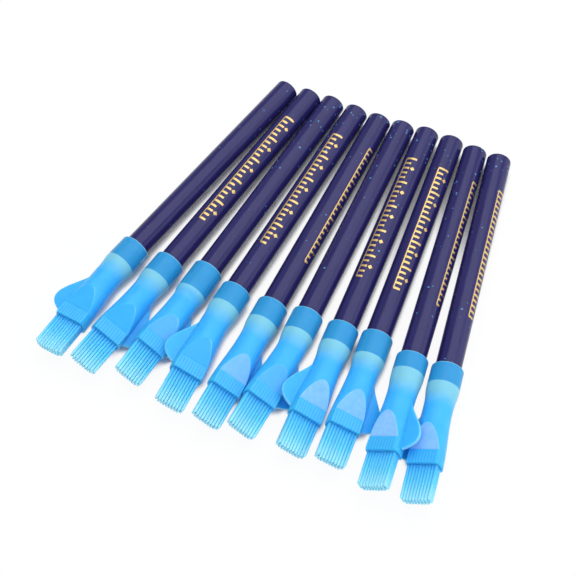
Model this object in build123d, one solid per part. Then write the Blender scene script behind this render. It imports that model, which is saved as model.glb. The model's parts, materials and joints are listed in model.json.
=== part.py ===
from build123d import *
from math import asin, atan, cos, radians, sin
import os

os.makedirs("parts", exist_ok=True)

# A set of tailor's chalk pencils, each with a push-on brush cap, laid out in a fan.
# Millimetres. The far ends lie in a row along X, the brushes point towards -Y, +Z is up.

# Pencil: two grooved wood slats glued round a chalk core
barrel_diameter = 7.5
barrel_length = 84.5
barrel_edge_round = 0.5
core_diameter = 3.6

# Cap socket: a soft sleeve that the pencil end pushes into and stretches
socket_clearance = 0.06
socket_wall = 0.84
mouth_round_share = 0.6
mouth_lead_in_share = 0.25
stretch_run = 0.4
waist_diameter = 8.3
waist_place = 12.4
waist_wall = 0.75
hollow_end_wall = 0.8
hollow_end_bevel = 1.4
neck_length = 1.8

# Cap head: a round cone cut by two sloping flats, then a straight collar
head_diameter = 10.2
shoulder_length = 3.4
flat_length = 9.8
flat_end_thickness = 5.0
collar_step = 0.2
collar_length = 4.2
collar_edge_round = 0.4

# Fin on one narrow side of the head: heights are measured from the head's widest circle
fin_thickness = 1.1
fin_edge_round_share = 0.28
fin_start_run = 0.7
fin_end_run = 1.6
fin_top_height = 4.35
fin_shoulder_height_share = 0.56
fin_shoulder_share = 0.38
fin_top_share = 0.67
fin_end_height = 0.2
fin_sink = 0.8

# Bristle comb: a backing slice in the collar's pocket, with rows of square bristles
comb_columns = 10
comb_rows = 4
bristle_width = 0.7
bristle_depth = 0.56
bristle_column_gap = 0.18
bristle_row_gap = 0.16
bristle_taper_angle = 0.25
bristle_free_length = 10.7
backing_length = 1.2
backing_rim = 0.1
backing_sink = 0.2
pocket_depth = 3.8
pocket_clearance = 0.05
pocket_corner_round = 0.3
cut_overrun = 1.0

# Layout of the fan from left to right. The steps between the far ends and their stagger are
# shares of the barrel's diameter, the steps between the heads are shares of the head's.
far_step_shares = [1.08, 1.035, 1.09, 1.065, 1.05, 1.05, 1.095, 1.075, 1.055]
far_stagger_shares = [-0.04, -0.01, 0.03, -0.02, -0.06, -0.01, 0.09, 0.08, -0.04, -0.04]
head_step_shares = [1.277, 1.265, 1.145, 1.293, 1.15, 1.185, 1.055, 1.29, 1.078]
head_lean_share = -0.224
# How high each cap is held off the ground by the fins that it crosses, as a share of the barrel
cap_lift_shares = [0.013, 0.0, 0.0, 0.007, 0.004, 0.051, 0.004, 0.015, 0.146, 0.062]
# How far each pencil end is pushed in, as a share of the hollow's length
push_in_shares = [0.645, 0.633, 0.812, 0.595, 0.61, 0.66, 0.605, 0.695, 0.48, 0.553]
# Roll of each cap about its pencil: positive lowers its right side
roll_angles = [-3.0, 21.8, 26.5, 21.2, 25.5, 26.1, 24.9, 19.3, -27.7, -24.1]
# Sideways bend of each soft neck: positive turns the brush to the left
bend_angles = [-4.05, 0.8, 0.89, -4.15, 0.64, 4.75, 0.37, 0.36, 0.57, -0.21]
# Side of the cap that carries the fin: 1 is right, -1 is left
fin_sides = [-1, 1, 1, -1, 1, 1, -1, 1, 1, -1]

barrel_radius = barrel_diameter / 2
bore_radius = barrel_radius + socket_clearance
socket_radius = bore_radius + socket_wall
waist_radius = waist_diameter / 2
hollow_length = waist_place - hollow_end_wall
head_radius = head_diameter / 2
head_length = shoulder_length + flat_length + collar_length
bristle_column_pitch = bristle_width + bristle_column_gap
bristle_row_pitch = bristle_depth + bristle_row_gap
comb_width = comb_columns * bristle_column_pitch - bristle_column_gap + 2 * backing_rim
comb_depth = comb_rows * bristle_row_pitch - bristle_row_gap + 2 * backing_rim
pocket_place = head_length - pocket_depth
upward = (Align.CENTER, Align.CENTER, Align.MIN)


def turned(outline):
    """A solid of revolution about Z from the edges of half its section."""
    return revolve(Plane.XZ * make_face(outline), Axis.Z)


def barrel():
    """The whole round barrel, pointing along +Z: its far end at the origin is rounded, its other end cut flat."""
    rod = Cylinder(barrel_radius, barrel_length, align=upward)
    far_edge = rod.edges().filter_by(GeomType.CIRCLE).sort_by(Axis.Z)[0]
    return fillet(far_edge, barrel_edge_round)


def chalk_core():
    return Cylinder(core_diameter / 2, barrel_length, align=upward)


def slat(side):
    """Half of the barrel on one side of its glue line, with a groove for the core."""
    half = Box(barrel_diameter, barrel_radius, barrel_length, align=(Align.CENTER, side, Align.MIN))
    return (barrel() & half) - chalk_core()


def socket(push_in):
    """The sleeve from its mouth to the waist, stretched as far as the pencil end reaches."""
    stretched = push_in + stretch_run
    tip_radius = waist_radius - waist_wall
    mouth_round = socket_wall * mouth_round_share
    lead_in = socket_wall * mouth_lead_in_share
    outline = [
        Polyline((bore_radius, stretched), (bore_radius, lead_in), (bore_radius + lead_in, 0),
                 (socket_radius - mouth_round, 0)),
        RadiusArc((socket_radius - mouth_round, 0), (socket_radius, mouth_round), -mouth_round),
        Line((socket_radius, mouth_round), (socket_radius, stretched)),
        Spline((socket_radius, stretched), (waist_radius, waist_place), tangents=[(0, 1), (0, 1)]),
        Polyline((waist_radius, waist_place), (0, waist_place), (0, hollow_length),
                 (tip_radius - hollow_end_bevel, hollow_length), (tip_radius, hollow_length - hollow_end_bevel),
                 (bore_radius, stretched)),
    ]
    return turned(outline)


def neck_turn(bend):
    """Where the neck ends, seen from the waist: a short arc that turns by the bend."""
    arc_radius = neck_length / radians(bend)
    return Pos(-arc_radius, 0, 0) * Rot(Y=-bend) * Pos(arc_radius, 0, 0)


def neck(bend):
    """The soft neck, a piece of a ring that starts at the waist."""
    arc_centre = (-neck_length / radians(bend), 0, 0)
    return revolve(Plane.XY * Circle(waist_radius), Axis(arc_centre, (0, -1, 0)), bend)


def head_cone():
    """The round body of the head, widening from the neck to the collar's end."""
    outline = [
        Polyline((head_radius - collar_edge_round, head_length), (0, head_length), (0, 0), (waist_radius, 0)),
        Spline((waist_radius, 0), (head_radius, head_length - collar_edge_round), tangents=[(0, 1), (0, 1)]),
        RadiusArc((head_radius, head_length - collar_edge_round),
                  (head_radius - collar_edge_round, head_length), -collar_edge_round),
    ]
    return turned(outline)


def head_wedge():
    """The side view of the head: two flats that slope in, a small step and the collar."""
    flat_end = shoulder_length + flat_length
    flat_half, collar_half = flat_end_thickness / 2, flat_end_thickness / 2 + collar_step
    top_half = [(0, head_radius), (shoulder_length, head_radius), (flat_end, flat_half),
                (flat_end + collar_step, collar_half), (head_length, collar_half)]
    points = [(half, along) for along, half in top_half]
    points += [(-half, along) for along, half in reversed(top_half)]
    side_view = Plane.YZ * make_face(Polyline(*points, close=True))
    return extrude(side_view, amount=head_radius + cut_overrun, both=True)


def fin(side):
    """The thin round fin in the wide plane of the brush, on the side named by 1 or -1."""
    start, end = fin_start_run, head_length - fin_end_run
    root = side * (waist_radius - fin_sink)
    shoulder = (side * (head_radius + fin_top_height * fin_shoulder_height_share),
                start + (end - start) * fin_shoulder_share)
    top = (side * (head_radius + fin_top_height), start + (end - start) * fin_top_share)
    start_point = (side * waist_radius, start)
    end_point = (side * (head_radius + fin_end_height), end)
    outline = [
        Polyline(end_point, (root, end), (root, start), start_point),
        Spline(start_point, shoulder, top, end_point),
    ]
    plate = extrude(Plane.XZ * make_face(outline), amount=fin_thickness / 2, both=True)
    return fillet(plate.edges().filter_by(GeomType.BSPLINE), fin_thickness * fin_edge_round_share)


def comb_pocket():
    """The cut in the collar that the comb's backing seats in."""
    section = RectangleRounded(comb_width + 2 * pocket_clearance, comb_depth + 2 * pocket_clearance,
                               pocket_corner_round)
    return extrude(Plane.XY.offset(pocket_place) * section, amount=pocket_depth + cut_overrun)


def head(side):
    return (head_cone() & head_wedge()) + fin(side) - comb_pocket()


def bristle_comb():
    """The backing slice with its bristles, seated on the pocket's floor."""
    root = pocket_place + backing_length - backing_sink
    slice_section = RectangleRounded(comb_width, comb_depth, pocket_corner_round - pocket_clearance)
    backing = extrude(Plane.XY.offset(pocket_place) * slice_section, amount=backing_length)
    places = GridLocations(bristle_column_pitch, bristle_row_pitch, comb_columns, comb_rows)
    bristle = extrude(Rectangle(bristle_width, bristle_depth), amount=head_length + bristle_free_length - root,
                      taper=bristle_taper_angle)
    return backing.fuse(*[Pos(0, 0, root) * place * bristle for place in places])


def row_places(step_shares, size):
    """Places along a row whose steps are shares of a size, centred on the row's middle."""
    total = sum(step_shares)
    return [size * (sum(step_shares[:number]) - total / 2) for number in range(len(step_shares) + 1)]


far_places = row_places(far_step_shares, barrel_diameter)
head_lean = head_diameter * head_lean_share
head_places = [head_lean + place for place in row_places(head_step_shares, head_diameter)]


def pencil_place(number):
    """Where a pencil's far end lies and how it points: x to its right, z along it to the brush."""
    free_length = barrel_length - push_in_shares[number] * hollow_length
    lift = cap_lift_shares[number] * barrel_diameter
    tilt = atan((socket_radius - barrel_radius + lift) / free_length)
    height = barrel_radius * cos(tilt)
    reach = free_length + waist_place + neck_length + head_length - collar_length
    heading = asin((far_places[number] - head_places[number]) / reach)
    right = (cos(heading), -sin(heading), 0)
    forward = (-sin(heading) * cos(tilt), -cos(heading) * cos(tilt), sin(tilt))
    far_end = (far_places[number], far_stagger_shares[number] * barrel_diameter, height)
    return Plane(origin=far_end, x_dir=right, z_dir=forward).location


pieces = {}
for number in range(len(push_in_shares)):
    name = f"{number + 1:02d}"
    pencil = pencil_place(number)
    push_in = push_in_shares[number] * hollow_length
    bend = bend_angles[number]
    waist = pencil * Pos(0, 0, barrel_length - push_in + waist_place)
    brush = neck_turn(bend) * Rot(Z=-roll_angles[number])
    cap = Pos(0, 0, -waist_place) * socket(push_in) + neck(bend) + brush * head(fin_sides[number])
    pieces[f"upper_slat_{name}"] = pencil * slat(Align.MIN)
    pieces[f"lower_slat_{name}"] = pencil * slat(Align.MAX)
    pieces[f"chalk_core_{name}"] = pencil * chalk_core()
    pieces[f"brush_cap_{name}"] = waist * cap
    pieces[f"bristle_comb_{name}"] = waist * brush * bristle_comb()

# Move the set so that its box is centred on the origin and rests on the ground
box = Compound(list(pieces.values())).bounding_box()
centring = Pos(-box.center().X, -box.center().Y, -box.min.Z)
for node, shape in pieces.items():
    export_step(centring * shape, f"parts/{node}.step")
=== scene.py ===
import json
import math

import bpy
from mathutils import Matrix, Vector


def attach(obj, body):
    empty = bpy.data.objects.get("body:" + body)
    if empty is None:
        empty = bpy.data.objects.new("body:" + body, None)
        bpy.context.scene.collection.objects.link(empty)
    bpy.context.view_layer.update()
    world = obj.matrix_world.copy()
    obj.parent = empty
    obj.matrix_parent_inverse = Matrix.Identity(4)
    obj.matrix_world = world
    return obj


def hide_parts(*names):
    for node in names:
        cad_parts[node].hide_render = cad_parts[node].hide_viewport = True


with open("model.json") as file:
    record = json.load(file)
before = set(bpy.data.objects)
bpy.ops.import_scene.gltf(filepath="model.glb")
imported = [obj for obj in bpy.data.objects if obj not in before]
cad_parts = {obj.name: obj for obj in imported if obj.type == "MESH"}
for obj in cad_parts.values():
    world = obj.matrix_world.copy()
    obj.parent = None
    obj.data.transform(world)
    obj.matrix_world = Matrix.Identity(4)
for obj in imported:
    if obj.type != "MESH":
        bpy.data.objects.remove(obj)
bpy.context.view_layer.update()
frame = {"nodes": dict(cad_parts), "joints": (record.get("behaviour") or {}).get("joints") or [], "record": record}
mm = 0.001

# How the set was laid out: one value for each pencil, from left to right
layout = {
    "barrelLength": 84.5,
    "waistPlace": 12.4,
    "hollowLength": 11.6,
    "neckLength": 1.8,
    "pushInShares": [0.645, 0.633, 0.812, 0.595, 0.61, 0.66, 0.605, 0.695, 0.48, 0.553],
    "rollAngles": [-3.0, 21.8, 26.5, 21.2, 25.5, 26.1, 24.9, 19.3, -27.7, -24.1],
    "bendAngles": [-4.05, 0.8, 0.89, -4.15, 0.64, 4.75, 0.37, 0.36, 0.57, -0.21],
}
names = [f"{number + 1:02d}" for number in range(len(layout["rollAngles"]))]
mounts = {mount["name"]: mount for mount in frame["record"]["mounts"]}
joints = {joint["name"]: joint for joint in frame["joints"]}


def hexColour(text):
    parts = [int(text[at:at + 2], 16) / 255 for at in (0, 2, 4)]
    linear = [part / 12.92 if part <= 0.04045 else ((part + 0.055) / 1.055) ** 2.4 for part in parts]
    return (*linear, 1.0)


def addNode(tree, kind, settings=None, inputs=None):
    node = tree.nodes.new(kind)
    for name, value in (settings or {}).items():
        setattr(node, name, value)
    for key, value in (inputs or {}).items():
        if isinstance(value, bpy.types.NodeSocket):
            tree.links.new(value, node.inputs[key])
        else:
            node.inputs[key].default_value = value
    return node


def pencilFrame(name):
    # x to the pencil's right, y up, z along it to the brush, from the middle of its far end
    forward = Vector(joints[f"cap_{name}_pull"]["axis"]).normalized()
    side = Vector((0, 0, 1)).cross(forward).normalized()
    turn = Matrix((side, forward.cross(side), forward)).transposed().to_4x4()
    return Matrix.Translation(Vector(mounts[f"far_end_{name}"]["pos_m"])) @ turn


def socketFrame(name):
    # the same axes, from the cap's mouth
    pushIn = layout["pushInShares"][int(name) - 1] * layout["hollowLength"]
    return pencilFrame(name) @ Matrix.Translation((0, 0, (layout["barrelLength"] - pushIn) * mm))


def brushFrame(name):
    # from the end of the soft neck, with the cap's own roll and bend
    number = int(name) - 1
    bend = math.radians(layout["bendAngles"][number])
    arcRadius = layout["neckLength"] * mm / bend
    waist = socketFrame(name) @ Matrix.Translation((0, 0, layout["waistPlace"] * mm))
    neckTurn = (Matrix.Translation((-arcRadius, 0, 0)) @ Matrix.Rotation(-bend, 4, "Y")
                @ Matrix.Translation((arcRadius, 0, 0)))
    return waist @ neckTurn @ Matrix.Rotation(math.radians(-layout["rollAngles"][number]), 4, "Z")


# Camera
view = {
    "targetFromFarRow": (-4.37, -69.88, 4.2),
    "azimuth": 25.1808,
    "elevation": 56.858,
    "distance": 413.8,
    "roll": -1.022,
    "lens": 88.35,
}
farRow = (Vector(mounts["far_end_01"]["pos_m"]) + Vector(mounts["far_end_10"]["pos_m"])) / 2
shift = Vector(view["targetFromFarRow"]) * mm
target = Vector((farRow.x + shift.x, farRow.y + shift.y, shift.z))
azimuth = math.radians(view["azimuth"])
elevation = math.radians(view["elevation"])
back = Vector((math.sin(azimuth) * math.cos(elevation), -math.cos(azimuth) * math.cos(elevation),
               math.sin(elevation)))
right = Vector((math.cos(azimuth), math.sin(azimuth), 0))
up = back.cross(right)
roll = math.radians(view["roll"])
cameraRight = right * math.cos(roll) + up * math.sin(roll)
cameraUp = up * math.cos(roll) - right * math.sin(roll)
cameraData = bpy.data.cameras.new("photoCamera")
cameraData.sensor_width = 36
cameraData.lens = view["lens"]
cameraData.clip_start = 0.01
camera = bpy.data.objects.new("photoCamera", cameraData)
turn = Matrix((cameraRight, cameraUp, back)).transposed().to_4x4()
camera.matrix_world = Matrix.Translation(target + back * view["distance"] * mm) @ turn
bpy.context.scene.collection.objects.link(camera)
bpy.context.scene.camera = camera
bpy.context.scene.view_settings.view_transform = "Standard"
print("camera placed")

# Studio: a pale floor, a large soft box above and behind, a lower one to the right, one in front of the
# brushes, and an even world
studio = {
    "floorSize": 6.0,
    "floorColour": "f4f4f4",
    "floorGlow": 0.93,
    "contactReach": 0.0032,
    "darkGap": 0.5,
    "openGap": 0.72,
    "worldColour": "f2f5ff",
    "worldStrength": 0.5,
    "softBoxes": [
        {"name": "topBox", "direction": (0.1, 0.42, 0.9), "distance": 0.8,
         "width": 1.1, "height": 0.8, "radiance": 2.0},
        {"name": "sideBox", "direction": (0.85, 0.45, 0.28), "distance": 0.9,
         "width": 0.8, "height": 0.5, "radiance": 1.3},
        {"name": "frontBox", "direction": (0.15, -0.8, 0.55), "distance": 0.9,
         "width": 1.2, "height": 0.6, "radiance": 1.2},
    ],
}


def buildStudio():
    half = studio["floorSize"] / 2
    mesh = bpy.data.meshes.new("floor")
    corners = [(-half, -half, 0), (half, -half, 0), (half, half, 0), (-half, half, 0)]
    mesh.from_pydata(corners, [], [(0, 1, 2, 3)])
    floor = bpy.data.objects.new("floor", mesh)
    bpy.context.scene.collection.objects.link(floor)
    paper = bpy.data.materials.new("mattPaperSweep")
    paper.use_nodes = True
    tree = paper.node_tree
    tree.nodes.clear()
    diffuse = addNode(tree, "ShaderNodeBsdfDiffuse", inputs={"Color": hexColour(studio["floorColour"])})
    glow = addNode(tree, "ShaderNodeEmission", inputs={"Color": (1, 1, 1, 1), "Strength": 1.0})
    path = addNode(tree, "ShaderNodeLightPath")
    seen = addNode(tree, "ShaderNodeMath", {"operation": "ADD", "use_clamp": True},
                   {0: path.outputs["Is Camera Ray"], 1: path.outputs["Is Glossy Ray"]})
    seen = addNode(tree, "ShaderNodeMath", {"operation": "ADD", "use_clamp": True},
                   {0: seen.outputs[0], 1: path.outputs["Is Transmission Ray"]})
    # the paper stays white for the camera, but not in the narrow gaps where the pencils nearly touch
    contact = addNode(tree, "ShaderNodeAmbientOcclusion", inputs={"Distance": studio["contactReach"]})
    openPaper = addNode(tree, "ShaderNodeMapRange", inputs={
        "Value": contact.outputs["AO"], "From Min": studio["darkGap"], "From Max": studio["openGap"],
        "To Max": studio["floorGlow"]})
    share = addNode(tree, "ShaderNodeMath", {"operation": "MULTIPLY"}, {
        0: seen.outputs[0], 1: openPaper.outputs[0]})
    mixed = addNode(tree, "ShaderNodeMixShader", inputs={0: share.outputs[0], 1: diffuse.outputs[0],
                                                         2: glow.outputs[0]})
    addNode(tree, "ShaderNodeOutputMaterial", inputs={"Surface": mixed.outputs[0]})
    mesh.materials.append(paper)
    for box in studio["softBoxes"]:
        data = bpy.data.lights.new(box["name"], "AREA")
        data.shape = "RECTANGLE"
        data.size = box["width"]
        data.size_y = box["height"]
        data.energy = box["radiance"] * math.pi * box["width"] * box["height"]
        lamp = bpy.data.objects.new(box["name"], data)
        direction = Vector(box["direction"]).normalized()
        lamp.matrix_world = (Matrix.Translation(target + direction * box["distance"])
                             @ direction.to_track_quat("Z", "Y").to_matrix().to_4x4())
        bpy.context.scene.collection.objects.link(lamp)
    world = bpy.data.worlds.new("studioWorld")
    world.use_nodes = True
    tree = world.node_tree
    tree.nodes.clear()
    path = addNode(tree, "ShaderNodeLightPath")
    light = addNode(tree, "ShaderNodeBackground", inputs={"Color": hexColour(studio["worldColour"]),
                                                          "Strength": studio["worldStrength"]})
    white = addNode(tree, "ShaderNodeBackground", inputs={"Color": (1, 1, 1, 1), "Strength": 1.0})
    seen = addNode(tree, "ShaderNodeMath", {"operation": "ADD", "use_clamp": True},
                   {0: path.outputs["Is Camera Ray"], 1: path.outputs["Is Transmission Ray"]})
    mixed = addNode(tree, "ShaderNodeMixShader", inputs={0: seen.outputs[0], 1: light.outputs[0],
                                                         2: white.outputs[0]})
    addNode(tree, "ShaderNodeOutputWorld", inputs={"Surface": mixed.outputs[0]})
    bpy.context.scene.world = world


buildStudio()
print("studio built")


def newMaterial(name):
    material = bpy.data.materials.new(name)
    material.use_nodes = True
    tree = material.node_tree
    tree.nodes.clear()
    shader = addNode(tree, "ShaderNodeBsdfPrincipled")
    addNode(tree, "ShaderNodeOutputMaterial", inputs={"Surface": shader.outputs[0]})
    return material, tree, shader


def localPlace(tree, place):
    # Object coordinates turned into millimetres in a piece's own frame
    inverse = place.inverted()
    coords = addNode(tree, "ShaderNodeTexCoord")
    mapping = addNode(tree, "ShaderNodeMapping", {"vector_type": "POINT"}, {
        "Vector": coords.outputs["Object"],
        "Location": inverse.translation / mm,
        "Rotation": inverse.to_euler(),
        "Scale": (1 / mm, 1 / mm, 1 / mm),
    })
    parts = addNode(tree, "ShaderNodeSeparateXYZ", inputs={0: mapping.outputs[0]})
    return mapping.outputs[0], parts


def dress(node, material):
    for slot in frame["nodes"][node].material_slots:
        slot.link = "OBJECT"
        slot.material = material


# Navy lacquer on a wood pencil, dipped in several coats: a deep gloss with a faint orange peel,
# chalk dust near the far end, and bare cut wood on the two flat ends
lacquerLook = {
    "colour": "2b2868",
    "deepColour": "1c194c",
    "dustColour": "5aa8d8",
    "woodColour": "c9a06a",
    "woodLineColour": "a87c48",
    "roughness": 0.24,
    "woodRoughness": 0.75,
    "specular": 0.27,
    "streakScale": 1.1,
    "streakStretch": 0.1,
    "peelSize": 0.9,
    "peelStrength": 0.2,
    "peelDepth": 0.0002,
    "grainScale": 0.55,
    "dustSize": 0.55,
    "dustSpacing": 2.2,
    "dustRim": 0.34,
    "dustCore": 0.18,
    "dustReach": 30.0,
    "dustBarNear": 0.95,  # a spot shows where its chance is over this bar, which rises away from the far end
    "dustBarFar": 1.5,
    "clusterScale": 0.25,
    "clusterShare": 1.1,
    "dustyOnes": ("03", "04", "05", "06", "07", "09", "10"),
    "dustyShare": 0.7,
    "cleanShare": 0.25,
    "endDepth": 0.05,
}


def barrelLacquer(name):
    material, tree, shader = newMaterial(f"navyDippedLacquer_{name}")
    vector, parts = localPlace(tree, pencilFrame(name))
    drawn = addNode(tree, "ShaderNodeVectorMath", {"operation": "MULTIPLY"}, {
        0: vector, 1: (1.0, 1.0, lacquerLook["streakStretch"])})
    streaks = addNode(tree, "ShaderNodeTexNoise", {"noise_dimensions": "4D"}, {
        "Vector": drawn.outputs[0], "W": float(int(name)), "Scale": lacquerLook["streakScale"],
        "Detail": 3.0})
    coat = addNode(tree, "ShaderNodeMix", {"data_type": "RGBA"}, {
        0: streaks.outputs[0], 6: hexColour(lacquerLook["deepColour"]), 7: hexColour(lacquerLook["colour"])})
    # dust: small bright spots that thin out away from the far end
    spots = addNode(tree, "ShaderNodeTexVoronoi", {"voronoi_dimensions": "4D"}, {
        "Vector": vector, "W": float(int(name)) * 3.7,
        "Scale": 1 / lacquerLook["dustSize"] / lacquerLook["dustSpacing"]})
    small = addNode(tree, "ShaderNodeMapRange", inputs={
        "Value": spots.outputs["Distance"], "From Min": lacquerLook["dustRim"],
        "From Max": lacquerLook["dustCore"],
        "To Min": 0.0, "To Max": 1.0})
    rare = addNode(tree, "ShaderNodeSeparateColor", inputs={0: spots.outputs["Color"]})
    reach = addNode(tree, "ShaderNodeMapRange", inputs={
        "Value": parts.outputs["Z"], "From Min": 0.0, "From Max": lacquerLook["dustReach"],
        "To Min": lacquerLook["dustBarNear"], "To Max": lacquerLook["dustBarFar"]})
    clusters = addNode(tree, "ShaderNodeTexNoise", {"noise_dimensions": "4D"}, {
        "Vector": vector, "W": float(int(name)), "Scale": lacquerLook["clusterScale"], "Detail": 1.0})
    crowd = addNode(tree, "ShaderNodeMath", {"operation": "MULTIPLY"}, {
        0: clusters.outputs[0], 1: lacquerLook["clusterShare"]})
    chance = addNode(tree, "ShaderNodeMath", {"operation": "ADD"}, {0: rare.outputs[0], 1: crowd.outputs[0]})
    chosen = addNode(tree, "ShaderNodeMath", {"operation": "GREATER_THAN"}, {
        0: chance.outputs[0], 1: reach.outputs[0]})
    dust = addNode(tree, "ShaderNodeMath", {"operation": "MULTIPLY"}, {
        0: small.outputs[0], 1: chosen.outputs[0]})
    strength = lacquerLook["dustyShare"] if name in lacquerLook["dustyOnes"] else lacquerLook["cleanShare"]
    dust = addNode(tree, "ShaderNodeMath", {"operation": "MULTIPLY"}, {0: dust.outputs[0], 1: strength})
    dusted = addNode(tree, "ShaderNodeMix", {"data_type": "RGBA"}, {
        0: dust.outputs[0], 6: coat.outputs[2], 7: hexColour(lacquerLook["dustColour"])})
    # bare wood on the flat ends
    half = layout["barrelLength"] / 2
    middle = addNode(tree, "ShaderNodeMath", {"operation": "SUBTRACT"}, {0: parts.outputs["Z"], 1: half})
    middle = addNode(tree, "ShaderNodeMath", {"operation": "ABSOLUTE"}, {0: middle.outputs[0]})
    bare = addNode(tree, "ShaderNodeMath", {"operation": "GREATER_THAN"}, {
        0: middle.outputs[0], 1: half - lacquerLook["endDepth"]})
    grain = addNode(tree, "ShaderNodeTexWave", {"wave_type": "BANDS", "bands_direction": "Y"}, {
        "Vector": vector, "Scale": lacquerLook["grainScale"], "Distortion": 2.0, "Detail": 2.0})
    wood = addNode(tree, "ShaderNodeMix", {"data_type": "RGBA"}, {
        0: grain.outputs[0], 6: hexColour(lacquerLook["woodLineColour"]),
        7: hexColour(lacquerLook["woodColour"])})
    colour = addNode(tree, "ShaderNodeMix", {"data_type": "RGBA"}, {
        0: bare.outputs[0], 6: dusted.outputs[2], 7: wood.outputs[2]})
    rough = addNode(tree, "ShaderNodeMix", {"data_type": "FLOAT"}, {
        0: bare.outputs[0], 2: lacquerLook["roughness"], 3: lacquerLook["woodRoughness"]})
    peel = addNode(tree, "ShaderNodeTexNoise", {"noise_dimensions": "4D"}, {
        "Vector": drawn.outputs[0], "W": float(int(name)), "Scale": 1 / lacquerLook["peelSize"],
        "Detail": 2.0})
    bump = addNode(tree, "ShaderNodeBump", inputs={
        "Height": peel.outputs[0], "Strength": lacquerLook["peelStrength"],
        "Distance": lacquerLook["peelDepth"]})
    for key, value in {"Base Color": colour.outputs[2], "Roughness": rough.outputs[0],
                       "Normal": bump.outputs[0]}.items():
        tree.links.new(value, shader.inputs[key])
    shader.inputs["Specular IOR Level"].default_value = lacquerLook["specular"]
    return material


# Pressed tailor's chalk: dry, matt and slightly pitted
chalkLook = {
    "colour": "e9eef4",
    "pitColour": "c9d3df",
    "grainSize": 0.25,
    "pitStrength": 0.5,
    "pitDepth": 0.0001,
    "roughness": 0.9,
}


def chalkMaterial():
    material, tree, shader = newMaterial("pressedChalk")
    coords = addNode(tree, "ShaderNodeTexCoord")
    grain = addNode(tree, "ShaderNodeTexNoise", inputs={
        "Vector": coords.outputs["Object"], "Scale": 1 / (chalkLook["grainSize"] * mm), "Detail": 4.0})
    colour = addNode(tree, "ShaderNodeMix", {"data_type": "RGBA"}, {
        0: grain.outputs[0], 6: hexColour(chalkLook["pitColour"]), 7: hexColour(chalkLook["colour"])})
    bump = addNode(tree, "ShaderNodeBump", inputs={
        "Height": grain.outputs[0], "Strength": chalkLook["pitStrength"], "Distance": chalkLook["pitDepth"]})
    tree.links.new(colour.outputs[2], shader.inputs["Base Color"])
    tree.links.new(bump.outputs[0], shader.inputs["Normal"])
    shader.inputs["Roughness"].default_value = chalkLook["roughness"]
    return material


# Injection moulded soft plastic, milky and satin: the pencil end shows through the sleeve as a darker band,
# the hollow past it lets more light in, the two flats are frosted with a painted sheen or have a painted
# highlight along their edge, and the comb's roots show in the collar
capLook = {
    "colour": "48bdfb",
    "shadeColour": "34aefa",
    "bandColour": "2f98d2",
    "hollowColour": "88ccdc",
    "flatSheenColour": "9cccff",
    "rootColour": "2ba2f4",
    "ribColour": "55c3fe",
    "highlightColour": "b4e4ff",
    "roughness": 0.34,
    # for each cap, the share of frost and painted sheen on its flats, greater on the caps whose flats catch the
    # light
    "frostAndSheenShares": [0.0, 0.0, 0.3, 0.05, 0.7, 0.25, 0.85, 0.75, 1.0, 0.9],
    # for each cap, the strength of the painted highlight along the edge of its flats
    "edgeHighlightShares": [0.25, 0.4, 0.55, 0.5, 0.1, 0.1, 0.0, 0.0, 0.0, 0.0],
    "headRadius": 5.1,
    "shoulderLength": 3.4,
    "flatEndPlace": 13.2,
    "flatEndHalf": 2.5,
    "finHalf": 0.55,
    "columnPitch": 0.88,
    "combHalfWidth": 4.4,
    "hollowShare": 0.85,
    "rootShare": 0.65,
    "lipShare": 0.5,
    "rimShare": 0.4,
    "mottleScale": 0.22,
    "patchScale": 0.7,
    "frostRoughness": 0.5,
    "textureScale": 3.5,
    "textureStrength": 0.08,
    "textureDepth": 0.0001,
    "scatter": 0.7,
    "scatterRadius": (0.5, 0.85, 1.0),
    "scatterScale": 0.0022,
    "specular": 0.2,
}


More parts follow.
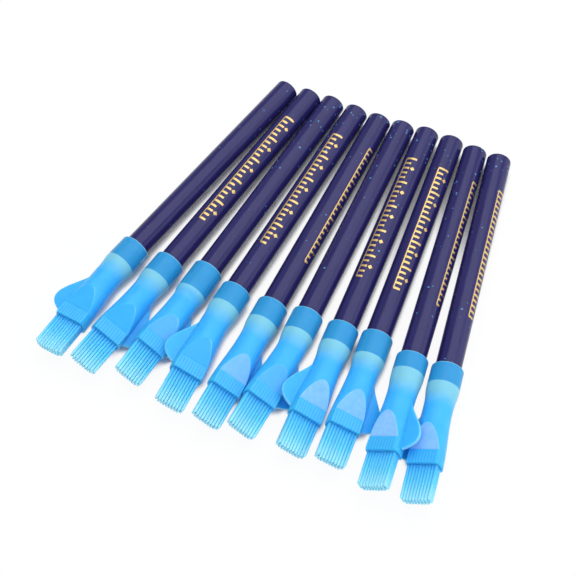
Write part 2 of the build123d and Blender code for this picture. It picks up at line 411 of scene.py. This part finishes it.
def capPlastic(name):
    number = int(name) - 1
    material, tree, shader = newMaterial(f"mouldedSoftPlastic_{name}")
    vector, sleeve = localPlace(tree, socketFrame(name))
    along = sleeve.outputs["Z"]
    pushIn = layout["pushInShares"][number] * layout["hollowLength"]
    mottle = addNode(tree, "ShaderNodeTexNoise", {"noise_dimensions": "4D"}, {
        "Vector": vector, "W": float(number), "Scale": capLook["mottleScale"], "Detail": 2.0})
    base = addNode(tree, "ShaderNodeMix", {"data_type": "RGBA"}, {
        0: mottle.outputs[0], 6: hexColour(capLook["shadeColour"]), 7: hexColour(capLook["colour"])})
    # past the pencil end the sleeve is hollow
    past = addNode(tree, "ShaderNodeMapRange", {"interpolation_type": "SMOOTHSTEP"}, {
        "Value": along, "From Min": pushIn - 0.08, "From Max": pushIn + 0.12})
    wander = addNode(tree, "ShaderNodeMath", {"operation": "MULTIPLY"}, {0: mottle.outputs[0], 1: 4.0})
    wander = addNode(tree, "ShaderNodeMath", {"operation": "ADD"}, {0: along, 1: wander.outputs[0]})
    closed = addNode(tree, "ShaderNodeMapRange", {"interpolation_type": "SMOOTHSTEP"}, {
        "Value": wander.outputs[0], "From Min": layout["hollowLength"] - 1.4,
        "From Max": layout["hollowLength"] + 4.6, "To Min": capLook["hollowShare"], "To Max": 0.0})
    tube = addNode(tree, "ShaderNodeMix", {"data_type": "RGBA"}, {
        0: closed.outputs[0], 6: base.outputs[2], 7: hexColour(capLook["hollowColour"])})
    sleeved = addNode(tree, "ShaderNodeMix", {"data_type": "RGBA"}, {
        0: past.outputs[0], 6: hexColour(capLook["bandColour"]), 7: tube.outputs[2]})
    # the frosted flats with their painted sheen: where the surface lies on one of the two sloping planes
    headVector, head = localPlace(tree, brushFrame(name))
    slope = addNode(tree, "ShaderNodeMapRange", {"clamp": False}, {
        "Value": head.outputs["Z"],
        "From Min": capLook["shoulderLength"], "From Max": capLook["flatEndPlace"],
        "To Min": capLook["headRadius"], "To Max": capLook["flatEndHalf"]})
    height = addNode(tree, "ShaderNodeMath", {"operation": "ABSOLUTE"}, {0: head.outputs["Y"]})
    off = addNode(tree, "ShaderNodeMath", {"operation": "SUBTRACT"}, {
        0: height.outputs[0], 1: slope.outputs[0]})
    off = addNode(tree, "ShaderNodeMath", {"operation": "ABSOLUTE"}, {0: off.outputs[0]})
    flat = addNode(tree, "ShaderNodeMapRange", inputs={
        "Value": off.outputs[0], "From Min": 0.02, "From Max": 0.1, "To Min": capLook["frostAndSheenShares"][number],
        "To Max": 0.0})
    beyond = addNode(tree, "ShaderNodeMath", {"operation": "LESS_THAN"}, {
        0: head.outputs["Z"], 1: capLook["flatEndPlace"] + 0.02})
    flat = addNode(tree, "ShaderNodeMath", {"operation": "MULTIPLY"}, {
        0: flat.outputs[0], 1: beyond.outputs[0]})
    # the painted frost and sheen is uneven, in patches
    patchiness = addNode(tree, "ShaderNodeTexNoise", {"noise_dimensions": "4D"}, {
        "Vector": headVector, "W": float(number), "Scale": capLook["patchScale"], "Detail": 5.0,
        "Roughness": 0.7})
    patchiness = addNode(tree, "ShaderNodeMapRange", inputs={
        "Value": patchiness.outputs[0], "From Min": 0.3, "From Max": 0.65, "To Min": 0.55, "To Max": 1.0})
    flat = addNode(tree, "ShaderNodeMath", {"operation": "MULTIPLY"}, {
        0: flat.outputs[0], 1: patchiness.outputs[0]})
    sheened = addNode(tree, "ShaderNodeMix", {"data_type": "RGBA"}, {
        0: flat.outputs[0], 6: sleeved.outputs[2], 7: hexColour(capLook["flatSheenColour"])})
    # a painted highlight along the edge of a flat, just outside it and on its right
    near = addNode(tree, "ShaderNodeMapRange", {"interpolation_type": "SMOOTHSTEP"}, {
        "Value": off.outputs[0], "From Min": 0.02, "From Max": 0.3, "To Min": capLook["edgeHighlightShares"][number],
        "To Max": 0.0})
    rightward = addNode(tree, "ShaderNodeMapRange", {"interpolation_type": "SMOOTHSTEP"}, {
        "Value": head.outputs["X"], "From Min": 0.4, "From Max": 1.6})
    outside = addNode(tree, "ShaderNodeMath", {"operation": "GREATER_THAN"}, {0: off.outputs[0], 1: 0.02})
    edge = addNode(tree, "ShaderNodeMath", {"operation": "MULTIPLY"}, {
        0: near.outputs[0], 1: rightward.outputs[0]})
    edge = addNode(tree, "ShaderNodeMath", {"operation": "MULTIPLY"}, {
        0: edge.outputs[0], 1: outside.outputs[0]})
    edge = addNode(tree, "ShaderNodeMath", {"operation": "MULTIPLY"}, {
        0: edge.outputs[0], 1: beyond.outputs[0]})
    # painted light: the mouth's thin lip lets more light through
    lip = addNode(tree, "ShaderNodeMapRange", inputs={
        "Value": along, "From Min": 0.15, "From Max": 0.45, "To Min": capLook["lipShare"], "To Max": 0.0})
    # and the fin's rounded rim too, as a painted highlight
    width = addNode(tree, "ShaderNodeMath", {"operation": "ABSOLUTE"}, {0: head.outputs["X"]})
    outer = addNode(tree, "ShaderNodeMath", {"operation": "GREATER_THAN"}, {
        0: width.outputs[0], 1: capLook["headRadius"] + 0.2})
    rim = addNode(tree, "ShaderNodeMapRange", inputs={
        "Value": height.outputs[0],
        "From Min": capLook["finHalf"] - 0.02, "From Max": capLook["finHalf"] - 0.1,
        "To Min": 0.0, "To Max": capLook["rimShare"]})
    rim = addNode(tree, "ShaderNodeMath", {"operation": "MULTIPLY"}, {0: rim.outputs[0], 1: outer.outputs[0]})
    bright = addNode(tree, "ShaderNodeMath", {"operation": "ADD"}, {0: edge.outputs[0], 1: lip.outputs[0]})
    bright = addNode(tree, "ShaderNodeMath", {"operation": "ADD", "use_clamp": True}, {
        0: bright.outputs[0], 1: rim.outputs[0]})
    # the painted highlights of the flats' edges, the mouth's lip and the fin's rim
    sheened = addNode(tree, "ShaderNodeMix", {"data_type": "RGBA"}, {
        0: bright.outputs[0], 6: sheened.outputs[2], 7: hexColour(capLook["highlightColour"])})
    # the comb's roots, seen through the collar as soft stripes
    stripe = addNode(tree, "ShaderNodeMath", {"operation": "MULTIPLY"}, {
        0: head.outputs["X"], 1: 2 * math.pi / capLook["columnPitch"]})
    stripe = addNode(tree, "ShaderNodeMath", {"operation": "COSINE"}, {0: stripe.outputs[0]})
    stripe = addNode(tree, "ShaderNodeMapRange", inputs={
        "Value": stripe.outputs[0], "From Min": -0.5, "From Max": 1.0})
    ribbed = addNode(tree, "ShaderNodeMix", {"data_type": "RGBA"}, {
        0: stripe.outputs[0], 6: hexColour(capLook["ribColour"]), 7: hexColour(capLook["rootColour"])})
    collar = addNode(tree, "ShaderNodeMapRange", {"interpolation_type": "SMOOTHSTEP"}, {
        "Value": head.outputs["Z"],
        "From Min": capLook["flatEndPlace"] - 0.2, "From Max": capLook["flatEndPlace"] + 1.6,
        "To Max": capLook["rootShare"]})
    inside = addNode(tree, "ShaderNodeMath", {"operation": "LESS_THAN"}, {
        0: width.outputs[0], 1: capLook["combHalfWidth"]})
    roots = addNode(tree, "ShaderNodeMath", {"operation": "MULTIPLY"}, {
        0: collar.outputs[0], 1: inside.outputs[0]})
    colour = addNode(tree, "ShaderNodeMix", {"data_type": "RGBA"}, {
        0: roots.outputs[0], 6: sheened.outputs[2], 7: ribbed.outputs[2]})
    # a fine moulded texture, a little coarser on the flats
    texture = addNode(tree, "ShaderNodeTexNoise", inputs={
        "Vector": headVector, "Scale": capLook["textureScale"], "Detail": 3.0})
    bump = addNode(tree, "ShaderNodeBump", inputs={
        "Height": texture.outputs[0], "Strength": capLook["textureStrength"],
        "Distance": capLook["textureDepth"]})
    rough = addNode(tree, "ShaderNodeMapRange", inputs={
        "Value": flat.outputs[0], "To Min": capLook["roughness"], "To Max": capLook["frostRoughness"]})
    for key, value in {"Base Color": colour.outputs[2], "Roughness": rough.outputs[0],
                       "Normal": bump.outputs[0]}.items():
        tree.links.new(value, shader.inputs[key])
    shader.inputs["Subsurface Weight"].default_value = capLook["scatter"]
    shader.inputs["Subsurface Radius"].default_value = capLook["scatterRadius"]
    shader.inputs["Subsurface Scale"].default_value = capLook["scatterScale"]
    shader.inputs["Specular IOR Level"].default_value = capLook["specular"]
    return material


# The same plastic in the bristles: thinner, so paler and more cyan towards the tips
bristleLook = {
    "rootColour": "46bbff",
    "middleColour": "62ceff",
    "tipColour": "9ee4ff",
    "rootPlace": 0.25,
    "middlePlace": 0.6,
    "darkest": 0.93,
    "lightest": 1.05,
    "roughness": 0.4,
    "scatter": 0.8,
    "scatterRadius": (1.0, 0.9, 0.8),
    "scatterScale": 0.0007,
    "specular": 0.25,
}


def bristlePlastic():
    material, tree, shader = newMaterial("mouldedBristlePlastic")
    along = addNode(tree, "ShaderNodeAttribute", {"attribute_name": "along"})
    tint = addNode(tree, "ShaderNodeAttribute", {"attribute_name": "tint"})
    ramp = addNode(tree, "ShaderNodeValToRGB", inputs={0: along.outputs["Fac"]})
    ramp.color_ramp.elements[0].position = bristleLook["rootPlace"]
    ramp.color_ramp.elements[0].color = hexColour(bristleLook["rootColour"])
    ramp.color_ramp.elements[1].position = 1.0
    ramp.color_ramp.elements[1].color = hexColour(bristleLook["tipColour"])
    ramp.color_ramp.elements.new(bristleLook["middlePlace"]).color = hexColour(bristleLook["middleColour"])
    shade = addNode(tree, "ShaderNodeHueSaturation", inputs={"Color": ramp.outputs[0]})
    value = addNode(tree, "ShaderNodeMapRange", inputs={
        "Value": tint.outputs["Fac"], "To Min": bristleLook["darkest"], "To Max": bristleLook["lightest"]})
    tree.links.new(value.outputs[0], shade.inputs["Value"])
    tree.links.new(shade.outputs[0], shader.inputs["Base Color"])
    shader.inputs["Roughness"].default_value = bristleLook["roughness"]
    shader.inputs["Subsurface Weight"].default_value = bristleLook["scatter"]
    shader.inputs["Subsurface Radius"].default_value = bristleLook["scatterRadius"]
    shader.inputs["Subsurface Scale"].default_value = bristleLook["scatterScale"]
    shader.inputs["Specular IOR Level"].default_value = bristleLook["specular"]
    return material


# Hot foil stamped into the lacquer: thin bright metal, slightly worn
foilLook = {
    "colour": "f0d28c",
    "wornColour": "bf9854",
    "roughness": 0.36,
    "roughnessRise": 0.15,
    "roughnessFall": 0.08,
    "metallic": 0.7,
    "grainSize": 0.35,
}


def foilMaterial():
    material, tree, shader = newMaterial("stampedGoldFoil")
    coords = addNode(tree, "ShaderNodeTexCoord")
    grain = addNode(tree, "ShaderNodeTexNoise", inputs={
        "Vector": coords.outputs["Object"], "Scale": 1 / (foilLook["grainSize"] * mm), "Detail": 3.0})
    colour = addNode(tree, "ShaderNodeMix", {"data_type": "RGBA"}, {
        0: grain.outputs[0], 6: hexColour(foilLook["wornColour"]), 7: hexColour(foilLook["colour"])})
    rough = addNode(tree, "ShaderNodeMapRange", inputs={
        "Value": grain.outputs[0],
        "To Min": foilLook["roughness"] + foilLook["roughnessRise"],
        "To Max": foilLook["roughness"] - foilLook["roughnessFall"]})
    tree.links.new(colour.outputs[2], shader.inputs["Base Color"])
    tree.links.new(rough.outputs[0], shader.inputs["Roughness"])
    shader.inputs["Metallic"].default_value = foilLook["metallic"]
    return material


chalk = chalkMaterial()
bristleMaterial = bristlePlastic()
foil = foilMaterial()
for name in names:
    lacquer = barrelLacquer(name)
    dress(f"upper_slat_{name}", lacquer)
    dress(f"lower_slat_{name}", lacquer)
    dress(f"chalk_core_{name}", chalk)
    dress(f"brush_cap_{name}", capPlastic(name))
print("carried nodes dressed")


def newTree(name, inputs):
    # a Geometry Nodes tree with named inputs: returns the tree, its input sockets and their identifiers
    tree = bpy.data.node_groups.new(name, "GeometryNodeTree")
    tree.interface.new_socket("Geometry", in_out="OUTPUT", socket_type="NodeSocketGeometry")
    identifiers = {}
    for title, kind in inputs.items():
        item = tree.interface.new_socket(title, in_out="INPUT", socket_type=kind)
        identifiers[title] = item.identifier
    entry = addNode(tree, "NodeGroupInput")
    return tree, entry.outputs, identifiers


def growPiece(name, tree, identifiers, values, place, body, material):
    # evaluates a tree, keeps the result as a plain mesh in its place and lets it ride on a body
    mesh = bpy.data.meshes.new(name)
    piece = bpy.data.objects.new(name, mesh)
    bpy.context.scene.collection.objects.link(piece)
    modifier = piece.modifiers.new("grown", "NODES")
    modifier.node_group = tree
    for title, value in values.items():
        modifier[identifiers[title]] = value
    bpy.context.view_layer.update()
    evaluated = piece.evaluated_get(bpy.context.evaluated_depsgraph_get())
    grown = bpy.data.meshes.new_from_object(evaluated)
    piece.modifiers.remove(modifier)
    grown.name = name
    grown.transform(place)
    piece.data = grown
    if not grown.materials:
        grown.materials.append(material)
    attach(piece, body)
    return piece


# Bristle comb: rows of tapered bristles with rounded corners and tips on a backing slice
comb = {
    "Columns": 10,
    "Rows": 4,
    "Column Pitch": 0.88 * mm,
    "Row Pitch": 0.72 * mm,
    "Width": 0.82 * mm,
    "Depth": 0.66 * mm,
    "Corner": 0.18 * mm,
    "Length": 13.5 * mm,
    "Root": 14.6 * mm,
    "Tip Share": 0.97,
    "Tip Crowding": 2.2,
    "Close Start": 0.98,
    "Close Share": 0.6,
    "Lean": 0.001,
    "Corner Share": 0.965,
    "Corner Start": 0.34,
    "Corner End": 0.52,
    "Slice Width": 8.8 * mm,
    "Slice Depth": 2.9 * mm,
    "Slice Length": 1.2 * mm,
    "Slice Place": 13.6 * mm,
}


def combTree():
    kinds = {title: "NodeSocketFloat" for title in comb}
    kinds["Columns"] = "NodeSocketInt"
    kinds["Rows"] = "NodeSocketInt"
    kinds["Seed"] = "NodeSocketInt"
    kinds["Material"] = "NodeSocketMaterial"
    tree, given, identifiers = newTree("bristleComb", kinds)
    # one bristle along Z, its points drawn together near the tip
    end = addNode(tree, "ShaderNodeCombineXYZ", inputs={"Z": given["Length"]})
    line = addNode(tree, "GeometryNodeCurvePrimitiveLine", inputs={"End": end.outputs[0]})
    line = addNode(tree, "GeometryNodeResampleCurve", inputs={"Curve": line.outputs[0], "Count": 6})
    share = addNode(tree, "GeometryNodeSplineParameter")
    rest = addNode(tree, "ShaderNodeMath", {"operation": "SUBTRACT"}, {0: 1.0, 1: share.outputs["Factor"]})
    rest = addNode(tree, "ShaderNodeMath", {"operation": "POWER"}, {
        0: rest.outputs[0], 1: given["Tip Crowding"]})
    drawn = addNode(tree, "ShaderNodeMath", {"operation": "SUBTRACT"}, {0: 1.0, 1: rest.outputs[0]})
    kept = addNode(tree, "GeometryNodeStoreNamedAttribute", {"data_type": "FLOAT", "domain": "POINT"}, {
        "Geometry": line.outputs[0], "Name": "along", "Value": drawn.outputs[0]})
    along = addNode(tree, "GeometryNodeInputNamedAttribute", {"data_type": "FLOAT"}, {"Name": "along"})
    rise = addNode(tree, "ShaderNodeMath", {"operation": "MULTIPLY"}, {
        0: along.outputs[0], 1: given["Length"]})
    place = addNode(tree, "ShaderNodeCombineXYZ", inputs={"Z": rise.outputs[0]})
    line = addNode(tree, "GeometryNodeSetPosition", inputs={"Geometry": kept.outputs[0],
                                                            "Position": place.outputs[0]})
    # the radius tapers along the bristle and closes in at the tip
    taper = addNode(tree, "ShaderNodeMapRange", inputs={"Value": along.outputs[0], "To Min": 1.0,
                                                        "To Max": given["Tip Share"]})
    close = addNode(tree, "ShaderNodeMapRange", inputs={
        "Value": along.outputs[0], "From Min": 1.0, "From Max": given["Close Start"],
        "To Min": given["Close Share"], "To Max": 1.0})
    radius = addNode(tree, "ShaderNodeMath", {"operation": "MULTIPLY"}, {
        0: taper.outputs[0], 1: close.outputs[0]})
    section = addNode(tree, "GeometryNodeCurvePrimitiveQuadrilateral", inputs={"Width": given["Width"],
                                                                               "Height": given["Depth"]})
    section = addNode(tree, "GeometryNodeFilletCurve", {"mode": "POLY"}, {
        "Curve": section.outputs[0], "Count": 1, "Radius": given["Corner"]})
    bristle = addNode(tree, "GeometryNodeCurveToMesh", inputs={
        "Curve": line.outputs[0], "Profile Curve": section.outputs[0], "Scale": radius.outputs[0],
        "Fill Caps": True})
    # the places of the bristles
    lastColumn = addNode(tree, "ShaderNodeMath", {"operation": "SUBTRACT"}, {0: given["Columns"], 1: 1.0})
    lastRow = addNode(tree, "ShaderNodeMath", {"operation": "SUBTRACT"}, {0: given["Rows"], 1: 1.0})
    across = addNode(tree, "ShaderNodeMath", {"operation": "MULTIPLY"}, {0: lastColumn.outputs[0],
                                                                         1: given["Column Pitch"]})
    deep = addNode(tree, "ShaderNodeMath", {"operation": "MULTIPLY"}, {0: lastRow.outputs[0],
                                                                       1: given["Row Pitch"]})
    grid = addNode(tree, "GeometryNodeMeshGrid", inputs={
        "Size X": across.outputs[0], "Size Y": deep.outputs[0], "Vertices X": given["Columns"],
        "Vertices Y": given["Rows"]})
    root = addNode(tree, "ShaderNodeCombineXYZ", inputs={"Z": given["Root"]})
    points = addNode(tree, "GeometryNodeSetPosition", inputs={"Geometry": grid.outputs[0],
                                                              "Offset": root.outputs[0]})
    less = addNode(tree, "ShaderNodeMath", {"operation": "MULTIPLY"}, {0: given["Lean"], 1: -1.0})
    low = addNode(tree, "ShaderNodeCombineXYZ", inputs={"X": less.outputs[0], "Y": less.outputs[0]})
    high = addNode(tree, "ShaderNodeCombineXYZ", inputs={"X": given["Lean"], "Y": given["Lean"]})
    lean = addNode(tree, "FunctionNodeRandomValue", {"data_type": "FLOAT_VECTOR"}, {
        "Min": low.outputs[0], "Max": high.outputs[0], "Seed": given["Seed"]})
    # the outer columns are a little shorter, which rounds the comb's corners
    where = addNode(tree, "GeometryNodeInputPosition")
    where = addNode(tree, "ShaderNodeSeparateXYZ", inputs={0: where.outputs[0]})
    outward = addNode(tree, "ShaderNodeMath", {"operation": "ABSOLUTE"}, {0: where.outputs["X"]})
    outward = addNode(tree, "ShaderNodeMath", {"operation": "DIVIDE"}, {
        0: outward.outputs[0], 1: across.outputs[0]})
    shorter = addNode(tree, "ShaderNodeMapRange", {"interpolation_type": "SMOOTHSTEP"}, {
        "Value": outward.outputs[0], "From Min": given["Corner Start"], "From Max": given["Corner End"],
        "To Min": 1.0, "To Max": given["Corner Share"]})
    size = addNode(tree, "ShaderNodeCombineXYZ", inputs={"X": 1.0, "Y": 1.0, "Z": shorter.outputs[0]})
    placed = addNode(tree, "GeometryNodeInstanceOnPoints", inputs={
        "Points": points.outputs[0], "Instance": bristle.outputs[0], "Rotation": lean.outputs[0],
        "Scale": size.outputs[0]})
    shade = addNode(tree, "FunctionNodeRandomValue", {"data_type": "FLOAT"}, {"Seed": given["Seed"]})
    tinted = addNode(tree, "GeometryNodeStoreNamedAttribute", {"data_type": "FLOAT", "domain": "INSTANCE"}, {
        "Geometry": placed.outputs[0], "Name": "tint", "Value": shade.outputs[1]})
    # the backing slice in the collar's pocket
    size = addNode(tree, "ShaderNodeCombineXYZ", inputs={"X": given["Slice Width"], "Y": given["Slice Depth"],
                                                         "Z": given["Slice Length"]})
    cube = addNode(tree, "GeometryNodeMeshCube", inputs={"Size": size.outputs[0]})
    half = addNode(tree, "ShaderNodeMath", {"operation": "MULTIPLY"}, {0: given["Slice Length"], 1: 0.5})
    middle = addNode(tree, "ShaderNodeMath", {"operation": "ADD"}, {
        0: half.outputs[0], 1: given["Slice Place"]})
    lift = addNode(tree, "ShaderNodeCombineXYZ", inputs={"Z": middle.outputs[0]})
    slab = addNode(tree, "GeometryNodeSetPosition", inputs={"Geometry": cube.outputs[0],
                                                            "Offset": lift.outputs[0]})
    joined = addNode(tree, "GeometryNodeJoinGeometry")
    tree.links.new(tinted.outputs[0], joined.inputs[0])
    tree.links.new(slab.outputs[0], joined.inputs[0])
    real = addNode(tree, "GeometryNodeRealizeInstances", inputs={0: joined.outputs[0]})
    finish = addNode(tree, "GeometryNodeSetMaterial", inputs={"Geometry": real.outputs[0],
                                                              "Material": given["Material"]})
    addNode(tree, "NodeGroupOutput", inputs={0: finish.outputs[0]})
    return tree, identifiers


tree, identifiers = combTree()
for number, name in enumerate(names):
    values = {**comb, "Seed": number + 1, "Material": bristleMaterial}
    piece = growPiece(f"bristles_{name}", tree, identifiers, values, brushFrame(name), f"cap_{name}",
                      bristleMaterial)
    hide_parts(f"bristle_comb_{name}")
print("combs grown")


# Foil scale on the barrel: ticks like a measuring tape's, every fifth one long, with diamonds between them
foilScale = {
    "Ticks": 25,
    "Pitch": 1.95 * mm,
    "Start": 14.0 * mm,
    "Tick Width": 0.72 * mm,
    "Line Width": 0.34 * mm,
    "Short": 2.0 * mm,
    "Long": 3.3 * mm,
    "Group": 5,
    "Diamond": 1.05 * mm,
    "Diamond Place": 0.42,
    "Radius": 3.762 * mm,
}
# where the marks face, as a turn about the pencil from its upper side to its right
# the pencils that aren't named have none
foilTurns = {"02": 14.4, "04": 4.9, "05": 54.3, "07": -10.9, "08": 19.5, "09": 52.5, "10": 62.4}
# share of the marks' size that is left on the pencils with a faint stamp
wornMarks = {"05": 0.6, "09": 0.6}


def foilTree():
    kinds = {title: "NodeSocketFloat" for title in foilScale}
    kinds["Ticks"] = "NodeSocketInt"
    kinds["Turn"] = "NodeSocketFloat"
    kinds["Material"] = "NodeSocketMaterial"
    tree, given, identifiers = newTree("foilScale", kinds)
    # flat marks first: X goes round the barrel, Y along it
    step = addNode(tree, "ShaderNodeCombineXYZ", inputs={"Y": given["Pitch"]})
    start = addNode(tree, "ShaderNodeCombineXYZ", inputs={"Y": given["Start"]})
    line = addNode(tree, "GeometryNodeMeshLine", inputs={
        "Count": given["Ticks"], "Start Location": start.outputs[0], "Offset": step.outputs[0]})
    index = addNode(tree, "GeometryNodeInputIndex")
    inGroup = addNode(tree, "ShaderNodeMath", {"operation": "MODULO"}, {
        0: index.outputs[0], 1: given["Group"]})
    isLong = addNode(tree, "ShaderNodeMath", {"operation": "LESS_THAN"}, {0: inGroup.outputs[0], 1: 0.5})
    length = addNode(tree, "ShaderNodeMapRange", inputs={"Value": isLong.outputs[0], "To Min": given["Short"],
                                                         "To Max": given["Long"]})
    bar = addNode(tree, "GeometryNodeMeshGrid", inputs={"Size X": 1.0, "Size Y": given["Tick Width"],
                                                        "Vertices X": 9, "Vertices Y": 2})
    scale = addNode(tree, "ShaderNodeCombineXYZ", inputs={"X": length.outputs[0], "Y": 1.0, "Z": 1.0})
    ticks = addNode(tree, "GeometryNodeInstanceOnPoints", inputs={
        "Points": line.outputs[0], "Instance": bar.outputs[0], "Scale": scale.outputs[0]})
    # short ticks keep the left edge of the long ones
    gap = addNode(tree, "ShaderNodeMath", {"operation": "SUBTRACT"}, {0: length.outputs[0], 1: given["Long"]})
    gap = addNode(tree, "ShaderNodeMath", {"operation": "MULTIPLY"}, {0: gap.outputs[0], 1: 0.5})
    aside = addNode(tree, "ShaderNodeCombineXYZ", inputs={"X": gap.outputs[0]})
    ticks = addNode(tree, "GeometryNodeTranslateInstances", inputs={
        "Instances": ticks.outputs[0], "Translation": aside.outputs[0], "Local Space": False})
    # a diamond in the middle of each group, on the other side
    isMiddle = addNode(tree, "ShaderNodeMath", {"operation": "COMPARE"}, {
        0: inGroup.outputs[0], 1: 2.0, 2: 0.6})
    square = addNode(tree, "GeometryNodeMeshGrid", inputs={
        "Size X": given["Diamond"], "Size Y": given["Diamond"], "Vertices X": 4, "Vertices Y": 4})
    shapes = addNode(tree, "GeometryNodeInstanceOnPoints", inputs={
        "Points": line.outputs[0], "Selection": isMiddle.outputs[0], "Instance": square.outputs[0],
        "Rotation": (0.0, 0.0, math.radians(45))})
    over = addNode(tree, "ShaderNodeMath", {"operation": "MULTIPLY"}, {
        0: given["Long"], 1: given["Diamond Place"]})
    over = addNode(tree, "ShaderNodeCombineXYZ", inputs={"X": over.outputs[0]})
    shapes = addNode(tree, "GeometryNodeTranslateInstances", inputs={
        "Instances": shapes.outputs[0], "Translation": over.outputs[0], "Local Space": False})
    # a thin line joins the ticks, as along a tape's edge
    steps = addNode(tree, "ShaderNodeMath", {"operation": "SUBTRACT"}, {0: given["Ticks"], 1: 1.0})
    run = addNode(tree, "ShaderNodeMath", {"operation": "MULTIPLY"}, {0: steps.outputs[0], 1: given["Pitch"]})
    edge = addNode(tree, "GeometryNodeMeshGrid", inputs={
        "Size X": given["Line Width"], "Size Y": run.outputs[0], "Vertices X": 2, "Vertices Y": 2})
    halfRun = addNode(tree, "ShaderNodeMath", {"operation": "MULTIPLY"}, {0: run.outputs[0], 1: 0.5})
    centre = addNode(tree, "ShaderNodeMath", {"operation": "ADD"}, {0: halfRun.outputs[0], 1: given["Start"]})
    left = addNode(tree, "ShaderNodeMath", {"operation": "MULTIPLY"}, {0: given["Long"], 1: -0.5})
    centre = addNode(tree, "ShaderNodeCombineXYZ", inputs={"X": left.outputs[0], "Y": centre.outputs[0]})
    edge = addNode(tree, "GeometryNodeSetPosition", inputs={"Geometry": edge.outputs[0],
                                                            "Offset": centre.outputs[0]})
    joined = addNode(tree, "GeometryNodeJoinGeometry")
    for part in (ticks, shapes, edge):
        tree.links.new(part.outputs[0], joined.inputs[0])
    real = addNode(tree, "GeometryNodeRealizeInstances", inputs={0: joined.outputs[0]})
    # then wrapped round the barrel
    flat = addNode(tree, "GeometryNodeInputPosition")
    parts = addNode(tree, "ShaderNodeSeparateXYZ", inputs={0: flat.outputs[0]})
    angle = addNode(tree, "ShaderNodeMath", {"operation": "DIVIDE"}, {
        0: parts.outputs["X"], 1: given["Radius"]})
    angle = addNode(tree, "ShaderNodeMath", {"operation": "ADD"}, {0: angle.outputs[0], 1: given["Turn"]})
    sine = addNode(tree, "ShaderNodeMath", {"operation": "SINE"}, {0: angle.outputs[0]})
    cosine = addNode(tree, "ShaderNodeMath", {"operation": "COSINE"}, {0: angle.outputs[0]})
    x = addNode(tree, "ShaderNodeMath", {"operation": "MULTIPLY"}, {0: sine.outputs[0], 1: given["Radius"]})
    y = addNode(tree, "ShaderNodeMath", {"operation": "MULTIPLY"}, {0: cosine.outputs[0], 1: given["Radius"]})
    place = addNode(tree, "ShaderNodeCombineXYZ", inputs={"X": x.outputs[0], "Y": y.outputs[0],
                                                          "Z": parts.outputs["Y"]})
    wrapped = addNode(tree, "GeometryNodeSetPosition", inputs={"Geometry": real.outputs[0],
                                                               "Position": place.outputs[0]})
    finish = addNode(tree, "GeometryNodeSetMaterial", inputs={"Geometry": wrapped.outputs[0],
                                                              "Material": given["Material"]})
    addNode(tree, "NodeGroupOutput", inputs={0: finish.outputs[0]})
    return tree, identifiers


tree, identifiers = foilTree()
for name, angle in foilTurns.items():
    values = {**foilScale, "Turn": math.radians(angle), "Material": foil}
    for title in ("Short", "Long", "Diamond"):
        values[title] *= wornMarks.get(name, 1.0)
    piece = growPiece(f"foil_{name}", tree, identifiers, values, pencilFrame(name), "pencils", foil)
print("foil marks stamped")
